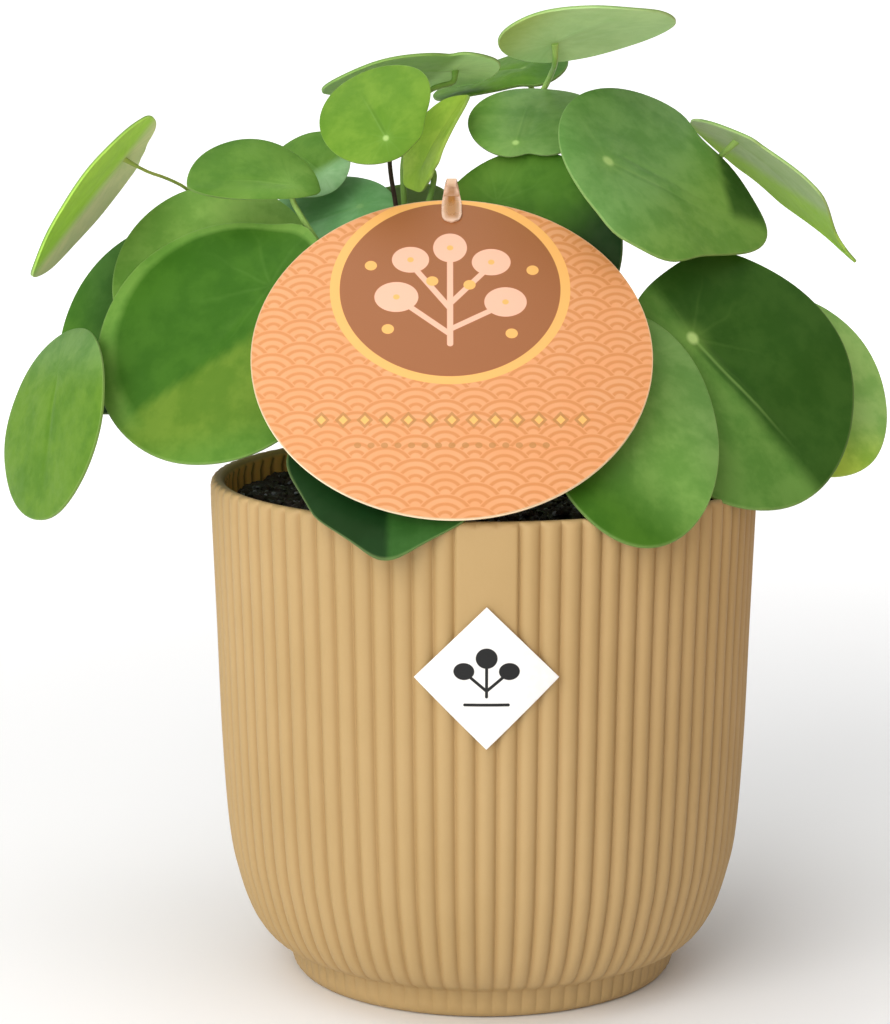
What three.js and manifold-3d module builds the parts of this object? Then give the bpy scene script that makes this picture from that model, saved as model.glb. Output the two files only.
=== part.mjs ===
// A Chinese money plant in a ribbed pot, with its round tag card. Millimetres, +Z up.
// The origin is the middle of the pot's underside. The viewer of the front stands on the -Y side.
import * as THREE from "three";
import { mergeVertices } from "three/addons/utils/BufferGeometryUtils.js";
import Module from "manifold-3d";

const wasm = await Module();
wasm.setup();

// Driving dimensions
const GAP = 0.35; // between pieces that touch

const POT_HEIGHT = 129;
const POT_RADIUS = 69.8; // over the ribs, under the rim
const POT_WALL = 3.8;
const POT_FLOOR = 4;
const FOOT_HEIGHT = 7.5;
const FOOT_RADIUS = 50.6;
const RIB_COUNT = 84;
const RIB_DEPTH = 1.1;
const PANEL_RIBS = 3; // width of the plain panel at the front, in ribs
const PANEL_LOW = 92; // height of the panel's lower end
const SMOOTH_BAND = 124; // height where the ribs end under the rim

const SOIL_TOP = 122.5;
const HOLE_DEPTH = 22;

const STEM_FOOT = new THREE.Vector3(-4, 15, SOIL_TOP);
const STEM_TOP = new THREE.Vector3(-15, 21, 194);
const STEM_RADIUS = 4.6;
const PETIOLE_RADIUS = 1.0;
const PETIOLE_CLEARANCE = 0.75; // from the stem's side to the stalk's foot
const BLADE_THICKNESS = 0.8;
const BLADE_SPOKES = 16;
const BLADE_RINGS = [0.36, 0.7, 1];

const CARD_RADIUS = 48.8;
const CARD_THICKNESS = 0.8;
const CARD_CENTRE = new THREE.Vector3(-8.2, -37.8, 164.8);
const CARD_LEAN = 45; // degrees back from upright
const STAKE_WIDTH = 5;
const STAKE_THICKNESS = 1.4;

const LABEL_DIAGONAL = 35;
const LABEL_THICKNESS = 0.7;
const LABEL_CENTRE_HEIGHT = 91.5;

const up = new THREE.Vector3(0, 0, 1);
const radians = THREE.MathUtils.degToRad;

// A direction from its azimuth (0 along +X, -90 towards the viewer) and its elevation, in degrees.
function direction(azimuth, elevation) {
  const flat = Math.cos(radians(elevation));
  return new THREE.Vector3(
    Math.cos(radians(azimuth)) * flat,
    Math.sin(radians(azimuth)) * flat,
    Math.sin(radians(elevation)),
  );
}

// A mesh under construction: points, and triangles of point numbers.
class Surface {
  points = [];
  triangles = [];

  add(point) {
    this.points.push(point);
    return this.points.length - 1;
  }

  // A ring of points, counted the way of the right hand round the surface's axis.
  ring(count, place) {
    return Array.from({ length: count }, (_, i) => this.add(place(i / count)));
  }

  // The band between two rings, facing right when the way goes from the first to the second.
  // The rings may have different counts, and start at the same angle.
  band(first, second) {
    let i = 0;
    let j = 0;
    while (i < first.length || j < second.length) {
      const a = first[i % first.length];
      const b = second[j % second.length];
      const firstIsNext = j === second.length || (i + 1) / first.length <= (j + 1) / second.length;
      if (i < first.length && firstIsNext) {
        i += 1;
        this.triangles.push(a, first[i % first.length], b);
      } else {
        j += 1;
        this.triangles.push(a, second[j % second.length], b);
      }
    }
  }

  // A fan from a middle point to a ring: over it, or under it when the ring is read backwards.
  fan(middle, ring) {
    ring.forEach((a, i) => this.triangles.push(middle, a, ring[(i + 1) % ring.length]));
  }

  geometry() {
    const made = new THREE.BufferGeometry().setFromPoints(this.points);
    made.setIndex(this.triangles);
    return made;
  }
}

function backwards(ring) {
  return [...ring].reverse();
}

// A closed geometry as a solid, for cuts and joins.
function solid(geometry) {
  const bare = new THREE.BufferGeometry().setAttribute("position", geometry.getAttribute("position"));
  bare.setIndex(geometry.index);
  const merged = mergeVertices(bare, 1e-4);
  return new wasm.Manifold(
    new wasm.Mesh({
      numProp: 3,
      vertProperties: new Float32Array(merged.getAttribute("position").array),
      triVerts: new Uint32Array(merged.index.array),
    }),
  );
}

function geometryOf(joined) {
  const mesh = joined.getMesh();
  const made = new THREE.BufferGeometry();
  made.setAttribute("position", new THREE.BufferAttribute(new Float32Array(mesh.vertProperties), 3));
  made.setIndex(new THREE.BufferAttribute(new Uint32Array(mesh.triVerts), 1));
  return made;
}

const plant = new THREE.Group();

function place(name, geometry, material) {
  geometry.computeVertexNormals();
  const mesh = new THREE.Mesh(geometry, material);
  mesh.name = name;
  plant.add(mesh);
}

// The pot: one moulded shell with a plain foot, a ribbed side and a rounded rim.
const potPlastic = new THREE.MeshStandardMaterial({ color: 0xc9a56c, roughness: 0.75, metalness: 0 });

// Height and radius of the ribbed side, over the ribs, from the foot to the rim.
const RIBBED_SIDE = [
  [10.8, 56.5],
  [17.2, 60.8],
  [26.5, 63.9],
  [38, 66.1],
  [PANEL_LOW - 4, 68.5],
  [PANEL_LOW, 68.7],
  [122, POT_RADIUS],
];
const POT_SIDES = RIB_COUNT;
const POINTS_PER_RIB = 3;

// How deep the side lies under the ribs' crests at a turn round the pot: 1 in a groove, 0 on a rib.
function groove(turn, height) {
  const alongRibs = turn * RIB_COUNT;
  const inGroove = Math.abs(alongRibs - Math.round(alongRibs)) < 0.1;
  // The turn starts at the middle of the front panel, which is the middle of a rib.
  const ribsFromPanel = Math.min(alongRibs, RIB_COUNT - alongRibs);
  const onPanel = height >= PANEL_LOW && ribsFromPanel < PANEL_RIBS / 2 - 0.25;
  return inGroove && !onPanel && height < SMOOTH_BAND ? 1 : 0;
}

function potPoint(turn, radius, height) {
  const angle = (turn - 0.25) * 2 * Math.PI;
  return new THREE.Vector3(radius * Math.cos(angle), radius * Math.sin(angle), height);
}

function makePot() {
  const pot = new Surface();
  const plainRing = (radius, height) => pot.ring(POT_SIDES, (turn) => potPoint(turn, radius, height));
  const ribbedRing = ([height, radius]) =>
    pot.ring(RIB_COUNT * POINTS_PER_RIB, (turn) =>
      potPoint(turn, radius - RIB_DEPTH * groove(turn, height), height),
    );
  const rim = POT_RADIUS - POT_WALL / 2;
  const inside = POT_RADIUS - POT_WALL;
  const outline = [
    plainRing(FOOT_RADIUS - 2.6, 0),
    plainRing(FOOT_RADIUS - 0.6, 1.6),
    plainRing(FOOT_RADIUS, FOOT_HEIGHT),
    ...RIBBED_SIDE.map(ribbedRing),
    ribbedRing([124.6, POT_RADIUS - 0.1]),
    plainRing(POT_RADIUS - 0.7, POT_HEIGHT - 1.2),
    plainRing(rim, POT_HEIGHT),
    plainRing(inside + 0.8, POT_HEIGHT - 1),
    ...insideProfile(0).map(([radius, height]) => plainRing(radius, height)),
  ];
  for (let i = 1; i < outline.length; i += 1) pot.band(outline[i - 1], outline[i]);
  pot.fan(pot.add(new THREE.Vector3(0, 0, 0)), backwards(outline[0]));
  pot.fan(pot.add(new THREE.Vector3(0, 0, POT_FLOOR)), outline.at(-1));
  return pot.geometry();
}

// The inner wall, from the rim to the floor, moved inwards by a gap.
function insideProfile(gap) {
  const wall = POT_WALL + gap;
  return [
    [POT_RADIUS - wall, 125.5],
    [RIBBED_SIDE[3][1] - wall, RIBBED_SIDE[3][0]],
    [RIBBED_SIDE[1][1] - wall - 1, RIBBED_SIDE[1][0] + gap],
    [FOOT_RADIUS - wall - 2, POT_FLOOR + gap],
  ];
}

place("pot", makePot(), potPlastic);

// The soil: dark compost that fills the pot, with plain holes for the stem and the stake.
const compost = new THREE.MeshStandardMaterial({ color: 0x1d1611, roughness: 1, metalness: 0 });

function soilHeight(x, y) {
  const bumps = Math.sin(0.21 * x + 0.8) * Math.cos(0.17 * y) + 0.6 * Math.sin(0.37 * y - 0.11 * x);
  return SOIL_TOP + 0.7 * bumps;
}

function makeSoil() {
  const soil = new Surface();
  const profile = insideProfile(GAP);
  const [topRadius] = profile.shift();
  const onTop = (count, radius) =>
    soil.ring(count, (turn) => {
      const point = potPoint(turn, radius, 0);
      point.z = soilHeight(point.x, point.y);
      return point;
    });
  const wall = profile.map(([radius, height]) =>
    soil.ring(POT_SIDES, (turn) => potPoint(turn, radius, height)),
  );
  const rings = [...wall.reverse(), onTop(POT_SIDES, topRadius - 0.1), onTop(42, 46), onTop(21, 23)];
  for (let i = 1; i < rings.length; i += 1) soil.band(rings[i - 1], rings[i]);
  soil.fan(soil.add(new THREE.Vector3(0, 0, POT_FLOOR + GAP)), backwards(rings[0]));
  soil.fan(soil.add(new THREE.Vector3(0, 0, soilHeight(0, 0))), rings.at(-1));
  return soil.geometry();
}

const holeFloor = SOIL_TOP - HOLE_DEPTH;
const holeTop = SOIL_TOP + 5;
const holeMiddle = (holeTop + holeFloor) / 2;
const holeLength = holeTop - holeFloor;

// The tag card leans back, and its stake stands upright behind its top edge.
const cardUp = direction(90, 90 - CARD_LEAN);
const cardFace = direction(-90, CARD_LEAN);
const cardTop = CARD_CENTRE.clone().addScaledVector(cardUp, CARD_RADIUS);
const stakeBack = cardTop.y + 1.2 + STAKE_THICKNESS / 2;

function stemHole() {
  const hole = new THREE.CylinderGeometry(STEM_RADIUS + 1.2, STEM_RADIUS + 1.2, holeLength, 16);
  hole.rotateX(Math.PI / 2);
  hole.translate(stemMiddle(SOIL_TOP).x, stemMiddle(SOIL_TOP).y, holeMiddle);
  return solid(hole);
}

function stakeHole() {
  const hole = new THREE.BoxGeometry(STAKE_WIDTH + 2 * GAP, STAKE_THICKNESS + 2 * GAP, holeLength);
  hole.translate(CARD_CENTRE.x, stakeBack, holeMiddle);
  return solid(hole);
}

// The main stem: short, woody, a little bent, with the leaf stalks round its upper part.
const stemBark = new THREE.MeshStandardMaterial({ color: 0x5a4a33, roughness: 0.8, metalness: 0 });

function stemShare(height) {
  return Math.max(0, (height - STEM_FOOT.z) / (STEM_TOP.z - STEM_FOOT.z));
}

function stemMiddle(height) {
  const share = stemShare(height);
  const point = STEM_FOOT.clone().lerp(STEM_TOP, share).setZ(height);
  const bow = 2 * Math.sin(Math.PI * share);
  return point.add(new THREE.Vector3(bow, 0, 0));
}

function stemRadius(height) {
  return STEM_RADIUS * (1 - 0.25 * stemShare(height));
}

function makeStem() {
  const stem = new Surface();
  const sides = 12;
  const rows = 8;
  const foot = holeFloor + GAP;
  const heights = [foot];
  for (let row = 0; row <= rows; row += 1) {
    heights.push(THREE.MathUtils.lerp(STEM_FOOT.z, STEM_TOP.z, row / rows));
  }
  const rings = heights.map((height) => {
    const middle = stemMiddle(height);
    const radius = stemRadius(height);
    return stem.ring(sides, (turn) => {
      const angle = turn * 2 * Math.PI;
      return middle.clone().add(new THREE.Vector3(radius * Math.cos(angle), radius * Math.sin(angle), 0));
    });
  });
  for (let i = 1; i < rings.length; i += 1) stem.band(rings[i - 1], rings[i]);
  stem.fan(stem.add(stemMiddle(foot)), backwards(rings[0]));
  stem.fan(stem.add(STEM_TOP.clone().addScaledVector(up, 1.5)), rings.at(-1));
  return stem.geometry();
}

place("soil", geometryOf(solid(makeSoil()).subtract(stemHole()).subtract(stakeHole())), compost);
place("main_stem", makeStem(), stemBark);

// Leaves: a round blade joined to its stalk inside its edge. Each row gives the blade's middle, the azimuth
// and elevation that its upper face looks at, the turn of its tip from the steepest way down (right-handed
// about the face), its length and width, the height on the stem where the stalk starts (from), and the
// points that the stalk passes on its way to the blade (via). dome is how far the joint stands over the
// edge, fold how far the sides rise over the midrib (or fall, if negative), droop how far the tip and base
// hang.
const green = new THREE.MeshStandardMaterial({ color: 0x4c7a33, roughness: 0.45, metalness: 0 });
const darkGreen = new THREE.MeshStandardMaterial({ color: 0x2f5524, roughness: 0.45, metalness: 0 });
const lime = new THREE.MeshStandardMaterial({ color: 0x7aa83a, roughness: 0.45, metalness: 0 });

const LEAVES = {
  leaf_far_left_upper: {
    at: [-99, 2, 200], face: [170, 37], turn: 40, size: [51, 51],
    from: 166, via: [[-58, 29, 178], [-76, 27, 199]],
  },
  leaf_far_left_lower: {
    at: [-108.4, -10, 143.8], face: [-148, 18], turn: 14, size: [50, 50],
    from: 142, via: [[-58, -3, 150], [-82, -6, 150]],
  },
  leaf_front_left: {
    at: [-65.3, -16, 165.3], face: [-107, 33], turn: -34, size: [68, 66],
    from: 150, via: [[-50, -6, 161]],
  },
  leaf_left_second: {
    at: [-69, 8, 179], face: [-97, 32], turn: -48, size: [54, 52],
    from: 158, via: [[-55, 15, 176]],
  },
  leaf_left_dark: {
    at: [-90, 22, 166.5], face: [-129, 27], turn: -38, size: [56, 50], tint: darkGreen,
    from: 154,
  },
  leaf_left_round: {
    at: [-58, 0, 203], face: [-79, 50], turn: -100, size: [34, 32],
    from: 167, via: [[-32, 8, 174], [-42, 3, 188]],
  },
  leaf_left_small: {
    at: [-45.5, 32, 206], face: [-110, 45], turn: -127, size: [24, 22],
    from: 177, via: [[-30, 41, 188], [-41, 45, 202]],
  },
  leaf_beside_card: { at: [-42, 26, 191.5], face: [-120, 55], turn: -60, size: [40, 36], from: 171 },
  leaf_lime: {
    at: [-27, 0, 221], face: [-112, 39], turn: -142, size: [31, 30], tint: lime,
    from: 185, via: [[-23, 19, 199], [-24, 14, 207]],
  },
  leaf_top_left: {
    at: [-18.9, 40, 228.9], face: [120, 74], turn: 83, size: [48, 46],
    from: 182, via: [[-20.5, 24, 198], [-20.5, 26, 208], [-15, 37, 224]],
  },
  leaf_young_folded: {
    at: [-11.5, 15, 213], face: [-156, 30], turn: -175, size: [28, 22], fold: 4, tint: lime,
    from: 191,
  },
  leaf_top_middle: { at: [4.2, 70, 227.5], face: [-150, 70], turn: -70, size: [37, 36], from: 186 },
  leaf_upper_middle: { at: [13, 20, 217.8], face: [-100, 61], turn: 178, size: [35, 34], from: 186 },
  leaf_top_right: {
    at: [26, 10, 241], face: [109, 71], turn: -160, size: [46, 45],
    from: 190, via: [[16, 38, 225]],
  },
  leaf_upper_right: {
    at: [45.5, 4, 203.7], face: [-45, 43], turn: 54, size: [62, 62],
    from: 172, via: [[25, 12, 205]],
  },
  leaf_far_right_upper: {
    at: [78, 36.5, 202], face: [16, 48], turn: -10, size: [55, 50], droop: 3.2,
    from: 164, via: [[62, 36, 207]],
  },
  leaf_behind_card: {
    at: [10.6, 3, 187], face: [-104, 17], turn: 35, size: [51, 50], tint: darkGreen,
    from: 176,
  },
  leaf_big_right: {
    at: [64.5, -13, 154.7], face: [-60, 31], turn: 34, size: [67, 69], fold: 2.5, droop: 0,
    tint: darkGreen, from: 146,
  },
  leaf_front_right: {
    at: [35.4, -43.6, 148.2], face: [-68, 40], turn: -14, size: [68, 45], dome: 0.6, fold: 0, droop: 0,
    from: 140, via: [[25, -22, 153]],
  },
  leaf_right_bright: { at: [82, 12, 151], face: [-60, 34], turn: 28, size: [54, 52], from: 138 },
  leaf_over_rim: {
    at: [-21.5, -56.8, 139.9], face: [-98, 45], turn: 0, size: [49, 44], dome: 0.6, fold: -0.5, droop: 0,
    tint: darkGreen, from: 134, via: [[-17, 2, 138]],
  },
  leaf_back_low_right: { at: [74, 44, 150], face: [30, 30], turn: 10, size: [50, 48], from: 136 },
  leaf_back_low_middle_right: { at: [38, 62, 152], face: [58, 28], turn: -20, size: [52, 50], from: 139 },
  leaf_back_low_middle: { at: [-2, 86, 156], face: [92, 30], turn: 15, size: [54, 52], from: 142 },
  leaf_back_low_left: { at: [-44, 66, 155], face: [126, 28], turn: -15, size: [52, 50], from: 145 },
  leaf_back_far_left: { at: [-78, 50, 174], face: [160, 34], turn: 20, size: [48, 46], from: 157 },
  leaf_back_high_right: { at: [20, 62, 186], face: [62, 50], turn: 30, size: [46, 44], from: 162 },
  leaf_back_high_left: { at: [-28, 66, 186], face: [118, 50], turn: -25, size: [44, 43], from: 165 },
};

const HUB_SHARE = 0.23; // of the blade's length, from its base edge to the stalk's joint

// The blade's height over its own plane, at a place along the tip (s) and across it (t) from the joint.
function bladeHeight(leaf, ringShare, s, t) {
  const [length, width] = leaf.size;
  const across = t / (width / 2);
  const along = (s - length * (0.5 - HUB_SHARE)) / (length / 2);
  const { dome = 1.5, fold = 1, droop = 0.8 } = leaf;
  const valley = Math.sqrt(across ** 2 + 0.02) - Math.sqrt(0.02);
  return dome * (1 - ringShare ** 2) + fold * valley - droop * along ** 2;
}

function bladeFrame(leaf) {
  const [azimuth, elevation] = leaf.face;
  const normal = direction(azimuth, elevation);
  const downhill = direction(azimuth, elevation - 90);
  const tip = downhill.applyAxisAngle(normal, radians(leaf.turn));
  const side = normal.clone().cross(tip);
  const base = new THREE.Vector3(...leaf.at).addScaledVector(tip, -leaf.size[0] * (0.5 - HUB_SHARE));
  const hub = base.clone().addScaledVector(normal, bladeHeight(leaf, 0, 0, 0));
  return { normal, tip, side, base, hub };
}

function makeBlade(leaf, { normal, tip, side, base, hub }) {
  const [length, width] = leaf.size;
  const blade = new Surface();
  const sheet = (sink) => {
    const rings = BLADE_RINGS.map((share) =>
      blade.ring(BLADE_SPOKES, (turn) => {
        const angle = turn * 2 * Math.PI;
        const s = share * (length * (0.5 - HUB_SHARE) + (length / 2) * Math.cos(angle));
        const t = share * (width / 2) * Math.sin(angle);
        const height = bladeHeight(leaf, share, s, t) - sink;
        return base.clone().addScaledVector(tip, s).addScaledVector(side, t).addScaledVector(normal, height);
      }),
    );
    return { middle: blade.add(hub.clone().addScaledVector(normal, -sink)), rings };
  };
  const top = sheet(0);
  const under = sheet(BLADE_THICKNESS);
  const splitBand = (inner, outer, facing) => {
    inner.forEach((a, i) => {
      const next = (i + 1) % inner.length;
      const corners = [a, outer[i], outer[next], a, outer[next], inner[next]];
      blade.triangles.push(...(facing > 0 ? corners : corners.reverse()));
    });
  };
  blade.fan(top.middle, top.rings[0]);
  blade.fan(under.middle, backwards(under.rings[0]));
  for (let i = 1; i < BLADE_RINGS.length; i += 1) {
    splitBand(top.rings[i - 1], top.rings[i], 1);
    splitBand(under.rings[i - 1], under.rings[i], -1);
  }
  splitBand(top.rings.at(-1), under.rings.at(-1), 1);
  return blade.geometry();
}

// The stalk: from the stem's side, out and up, to the blade's underside at the joint.
function makePetiole(leaf, { normal, hub }) {
  const middle = stemMiddle(leaf.from);
  const first = leaf.via ? new THREE.Vector3(...leaf.via[0]) : hub;
  const out = first.clone().sub(middle).setZ(0).normalize();
  const foot = middle.clone().addScaledVector(out, stemRadius(leaf.from) + PETIOLE_CLEARANCE);
  // How far the stalk runs square to the blade before the joint.
  const reach = leaf.via ? 3 : 0.22 * foot.distanceTo(hub);
  const route = new THREE.CatmullRomCurve3(
    [
      foot,
      foot.clone().addScaledVector(out, 3).addScaledVector(up, 1),
      ...(leaf.via ?? []).map((point) => new THREE.Vector3(...point)),
      hub.clone().addScaledVector(normal, -reach),
      hub.clone().addScaledVector(normal, -BLADE_THICKNESS / 2),
    ],
    false,
    "centripetal",
  );
  const steps = 6 + 3 * (leaf.via ?? []).length;
  const sides = 5;
  const frames = route.computeFrenetFrames(steps, false);
  const stalk = new Surface();
  const rings = frames.tangents.map((_, row) => {
    const centre = route.getPointAt(row / steps);
    const radius = PETIOLE_RADIUS * (1 - 0.15 * (row / steps));
    return stalk.ring(sides, (turn) => {
      const angle = turn * 2 * Math.PI;
      return centre
        .clone()
        .addScaledVector(frames.normals[row], radius * Math.cos(angle))
        .addScaledVector(frames.binormals[row], radius * Math.sin(angle));
    });
  });
  for (let i = 1; i < rings.length; i += 1) stalk.band(rings[i - 1], rings[i]);
  stalk.fan(stalk.add(route.getPointAt(0)), backwards(rings[0]));
  stalk.fan(stalk.add(route.getPointAt(1)), rings.at(-1));
  return stalk.geometry();
}

for (const [name, leaf] of Object.entries(LEAVES)) {
  const frame = bladeFrame(leaf);
  const joined = solid(makeBlade(leaf, frame)).add(solid(makePetiole(leaf, frame)));
  place(name, geometryOf(joined), leaf.tint ?? green);
}

// The tag card: a round printed card that leans back in front of the plant.
const cardStock = new THREE.MeshStandardMaterial({ color: 0xf2ab74, roughness: 0.6, metalness: 0 });
const card = new THREE.CylinderGeometry(CARD_RADIUS, CARD_RADIUS, CARD_THICKNESS, 64);
card.applyQuaternion(new THREE.Quaternion().setFromUnitVectors(new THREE.Vector3(0, 1, 0), cardFace));
card.translate(...CARD_CENTRE);
place("tag_card", card, cardStock);

// The stake: a flat strip of amber plastic, upright in the soil, hooked over the card's top edge.
const amberPlastic = new THREE.MeshStandardMaterial({ color: 0xd9a56a, roughness: 0.3, metalness: 0 });

function makeStake() {
  const half = CARD_THICKNESS / 2 + GAP + STAKE_THICKNESS / 2;
  const hookTop = cardTop.clone().addScaledVector(up, 4.5);
  const front = cardTop.clone().addScaledVector(cardFace, half);
  const middleLine = [
    new THREE.Vector3(0, stakeBack, SOIL_TOP - HOLE_DEPTH + GAP),
    new THREE.Vector3(0, stakeBack, cardTop.z + 0.5),
    new THREE.Vector3(0, stakeBack - 0.6, hookTop.z - 0.8),
    new THREE.Vector3(0, stakeBack - 2, hookTop.z),
    new THREE.Vector3(0, stakeBack - 3.4, hookTop.z - 1),
    front.clone().addScaledVector(cardUp, 1).setX(0),
    front.clone().addScaledVector(cardUp, -7.5).setX(0),
  ];
  // The strip's outline in the side view, offset to both sides of its middle line.
  const offset = (sign) =>
    middleLine.map((point, i) => {
      const before = middleLine[Math.max(0, i - 1)];
      const after = middleLine[Math.min(middleLine.length - 1, i + 1)];
      const along = after.clone().sub(before).normalize();
      const across = new THREE.Vector2(along.z, -along.y).multiplyScalar((sign * STAKE_THICKNESS) / 2);
      return new THREE.Vector2(point.y, point.z).add(across);
    });
  const outline = new THREE.Shape([...offset(1), ...offset(-1).reverse()]);
  const strip = new THREE.ExtrudeGeometry(outline, { depth: STAKE_WIDTH, bevelEnabled: false });
  // The shape's own x, y and depth become the part's y, z and x.
  strip.applyMatrix4(new THREE.Matrix4().set(0, 0, 1, 0, 1, 0, 0, 0, 0, 1, 0, 0, 0, 0, 0, 1));
  strip.translate(CARD_CENTRE.x - STAKE_WIDTH / 2, 0, 0);
  return strip;
}

place("tag_stake", makeStake(), amberPlastic);

// The label: a thin square sticker on its corner, bent round the pot's front over the ribs.
const whiteFilm = new THREE.MeshStandardMaterial({ color: 0xf7f7f5, roughness: 0.35, metalness: 0 });

function makeLabel() {
  const label = new Surface();
  const cells = 6;
  const lowEnd = RIBBED_SIDE[3];
  const highEnd = RIBBED_SIDE.at(-1);
  const crest = (height) =>
    THREE.MathUtils.mapLinear(height, lowEnd[0], highEnd[0], lowEnd[1], highEnd[1]) + GAP + 0.25;
  const sheet = (rise) =>
    Array.from({ length: cells + 1 }, (_, row) =>
      Array.from({ length: cells + 1 }, (_, column) => {
        const across = ((column - row) / cells / 2) * LABEL_DIAGONAL;
        const height = LABEL_CENTRE_HEIGHT + ((column + row) / cells / 2 - 0.5) * LABEL_DIAGONAL;
        const radius = crest(height) + rise;
        return label.add(potPoint(across / (2 * Math.PI * POT_RADIUS), radius, height));
      }),
    );
  const back = sheet(0);
  const front = sheet(LABEL_THICKNESS);
  for (let row = 0; row < cells; row += 1) {
    for (let column = 0; column < cells; column += 1) {
      const corners = (grid) => [
        grid[row][column],
        grid[row][column + 1],
        grid[row + 1][column + 1],
        grid[row][column],
        grid[row + 1][column + 1],
        grid[row + 1][column],
      ];
      label.triangles.push(...corners(front), ...corners(back).reverse());
    }
  }
  const edge = (grid) => [
    ...grid[0].slice(0, cells),
    ...grid.slice(0, cells).map((line) => line[cells]),
    ...backwards(grid[cells]).slice(0, cells),
    ...backwards(grid.map((line) => line[0])).slice(0, cells),
  ];
  label.band(edge(back), edge(front));
  return label.geometry();
}

place("label", makeLabel(), whiteFilm);

export default plant;
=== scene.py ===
"""The dressed model of a potted money plant with its tag card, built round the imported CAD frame."""

from math import atan2, cos, hypot, pi, radians, sin, sqrt, tau

import bmesh
import bpy
import numpy as np
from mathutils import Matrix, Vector, noise


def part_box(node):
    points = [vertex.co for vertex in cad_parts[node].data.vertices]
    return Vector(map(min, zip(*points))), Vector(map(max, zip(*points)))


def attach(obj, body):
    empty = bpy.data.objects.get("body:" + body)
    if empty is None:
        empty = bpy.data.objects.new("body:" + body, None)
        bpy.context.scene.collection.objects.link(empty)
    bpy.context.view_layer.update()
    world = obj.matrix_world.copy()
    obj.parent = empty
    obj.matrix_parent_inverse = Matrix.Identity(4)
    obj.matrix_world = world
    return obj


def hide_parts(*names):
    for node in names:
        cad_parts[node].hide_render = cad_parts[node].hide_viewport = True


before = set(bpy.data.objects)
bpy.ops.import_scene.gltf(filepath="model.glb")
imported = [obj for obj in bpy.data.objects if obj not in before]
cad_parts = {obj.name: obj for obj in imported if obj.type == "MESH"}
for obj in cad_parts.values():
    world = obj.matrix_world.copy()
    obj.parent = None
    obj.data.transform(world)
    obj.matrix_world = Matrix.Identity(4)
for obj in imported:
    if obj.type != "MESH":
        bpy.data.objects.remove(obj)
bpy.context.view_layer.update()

# The photographer's set: a pale floor that glows softly far off, a big soft lamp to the front left, one
# above and a weak one low down, and a long lens a little above the plant that looks gently down.
camera_tilt = radians(10.24)


def put_in(name, data):
    """A new object in the scene."""
    made = bpy.data.objects.new(name, data)
    bpy.context.scene.collection.objects.link(made)
    return made


camera = put_in("camera", bpy.data.cameras.new("camera"))
camera.data.lens = 109.9
camera.data.clip_end = 60
camera.location = (-0.00985, -0.791, 0.262)
camera.rotation_euler = (radians(90) - camera_tilt, 0, 0)
bpy.context.scene.camera = camera
bpy.context.scene.view_settings.view_transform = "Standard"


def lamp(name, place, target, size, power, colour):
    """A square softbox at a place, aimed at a target."""
    light = bpy.data.lights.new(name, "AREA")
    light.size = size
    light.energy = power
    light.color = colour
    box = put_in(name, light)
    box.location = place
    box.rotation_euler = (Vector(target) - Vector(place)).to_track_quat("-Z", "Y").to_euler()


lamp("softbox_left", (-0.82, -1.4, 0.95), (0, 0, 0.13), 1.35, 20.5, (1, 0.985, 0.96))
lamp("softbox_top", (-0.3, -0.1, 1.8), (0, 0, 0.15), 1.6, 13, (1, 1, 1))
lamp("softbox_low", (-0.25, -1.6, 0.22), (0, 0, 0.13), 1.0, 4.6, (1, 1, 1))


def is_socket(value):
    return isinstance(value, bpy.types.NodeSocket)


def add_node(kind, *inputs, tree=None, **settings):
    """A shader node with its settings, and its inputs in order: a value, a socket to link, or None.
    It is put in the tree of its first socket, where no tree is named."""
    if tree is None:
        tree = next(value.id_data for value in inputs if is_socket(value))
    made = tree.nodes.new("ShaderNode" + kind)
    for name, value in settings.items():
        setattr(made, name, value)
    for socket, value in zip(made.inputs, inputs):
        if is_socket(value):
            tree.links.new(value, socket)
        elif value is not None:
            socket.default_value = value
    return made


def calc(operation, *inputs):
    return add_node("Math", *inputs, operation=operation).outputs[0]


def times(first, *others):
    for other in others:
        first = calc("MULTIPLY", first, other)
    return first


def plus(first, second):
    return calc("ADD", first, second)


def minus(first, second):
    return calc("SUBTRACT", first, second)


def between(value, low, high, at_low=0.0, at_high=1.0):
    """A value eased from one limit to another."""
    limits = (low, high, at_low, at_high)
    return add_node("MapRange", value, *limits, interpolation_type="SMOOTHSTEP").outputs[0]


def axes_of(vector):
    return add_node("SeparateXYZ", vector).outputs


def length_of(vector):
    return add_node("VectorMath", vector, operation="LENGTH").outputs["Value"]


def tinted(share, first, second, way="MIX"):
    """Two colours laid over each other in a share."""
    colours = [value if is_socket(value) else (*value, 1) for value in (first, second)]
    made = add_node("Mix", share, None, None, None, None, None, *colours, data_type="RGBA", blend_type=way)
    return made.outputs[2]


def finish_of(name, roughness, **constants):
    """A new material, its node tree and its Principled shader."""
    material = bpy.data.materials.new(name)
    material.use_nodes = True
    tree = material.node_tree
    surface = tree.nodes["Principled BSDF"]
    surface.inputs["Roughness"].default_value = roughness
    for socket, value in constants.items():
        surface.inputs[socket.replace("_", " ")].default_value = value
    return material, tree, surface


def feed(surface, **sockets):
    """Links what varies over a surface to the shader's sockets."""
    for name, value in sockets.items():
        surface.id_data.links.new(value, surface.inputs[name.replace("_", " ")])


def object_place(tree):
    return add_node("TexCoord", tree=tree).outputs["Object"]


def clouds(place, scale, detail, roughness):
    return add_node("TexNoise", place, None, scale, detail, roughness).outputs["Fac"]


def relief(surface, height, strength, distance):
    """Small bumps in the surface, from a height."""
    bump = add_node("Bump", strength, distance, tree=surface.id_data)
    surface.id_data.links.new(height, bump.inputs["Height"])
    feed(surface, Normal=bump.outputs[0])


def select_only(piece):
    bpy.ops.object.select_all(action="DESELECT")
    piece.select_set(True)
    bpy.context.view_layer.objects.active = piece


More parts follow.
